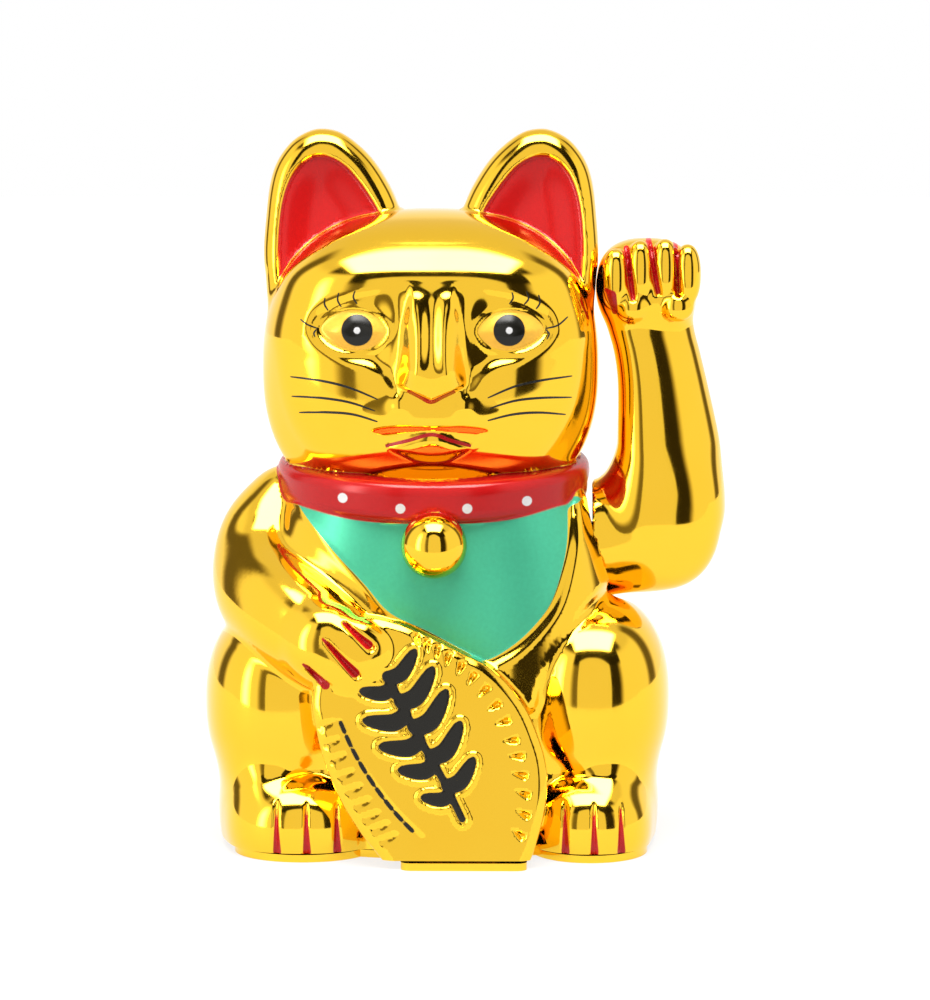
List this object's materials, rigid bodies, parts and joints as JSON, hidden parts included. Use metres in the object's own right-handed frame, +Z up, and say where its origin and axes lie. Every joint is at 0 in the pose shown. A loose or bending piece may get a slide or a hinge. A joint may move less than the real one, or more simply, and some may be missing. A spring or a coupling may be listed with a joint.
{
  "type": "beckoning cat figurine",
  "caption": "Hollow seated beckoning cat with one arm that swings forward and back on an axle, holding a leaning oval coin, on a flanged base with a sliding battery door.",
  "frame": {"origin": "on the plane the figurine stands on, under the middle of its body", "axes": "+Z up; the cat faces -Y; +X is the side of the waving arm, the viewer's right"},
  "size_m": [0.1435, 0.1027, 0.1946],
  "materials": {
    "gold_plating": "vacuum-plated, mirror gloss, with painted details",
    "door_plastic": "satin, moulded",
    "steel": "bright",
    "nickel": "nickel-plated",
    "bush_brass": "turned",
    "black_plastic": "moulded",
    "white_plastic": "moulded",
    "board": "lacquered laminate",
    "copper_wire": "enamelled winding",
    "cell_jacket": "plain printed-free jacket",
    "red_sleeve": "wire insulation",
    "black_sleeve": "wire insulation"
  },
  "bodies": {
    "body": {"front_shell": "gold_plating", "back_shell": "gold_plating", "base_plate": "gold_plating", "pivot_frame": "white_plastic", "inner_bush": "bush_brass", "outer_bush": "bush_brass", "frame_screws": "steel", "base_screws": "steel", "battery_cell": "cell_jacket", "contact_spring": "steel", "negative_contact": "steel", "positive_contact": "steel", "circuit_board": "board", "board_screws": "steel", "coil_bobbin": "black_plastic", "coil_winding": "copper_wire", "transistor": "black_plastic", "capacitor": "black_plastic", "red_wire": "red_sleeve", "black_wire": "black_sleeve"},
    "arm": {"arm_front_half": "gold_plating", "arm_back_half": "gold_plating", "arm_hub": "white_plastic", "axle": "steel", "axle_clip": "steel", "thrust_washer": "white_plastic", "pendulum": "black_plastic", "grub_screw": "steel", "counterweights": "steel", "magnet": "nickel"},
    "door": {"battery_door": "door_plastic"}
  },
  "joints": [
    {"name": "arm_swing", "type": "hinge", "parent": "body", "child": "arm", "pos_m": [0, 0, 0.082], "axis": [1, 0, 0], "range_deg": [-20, 20]},
    {"name": "door_slide", "type": "slide", "parent": "body", "child": "door", "axis": [0, 1, 0], "range_m": [0, 0.07]}
  ]
}
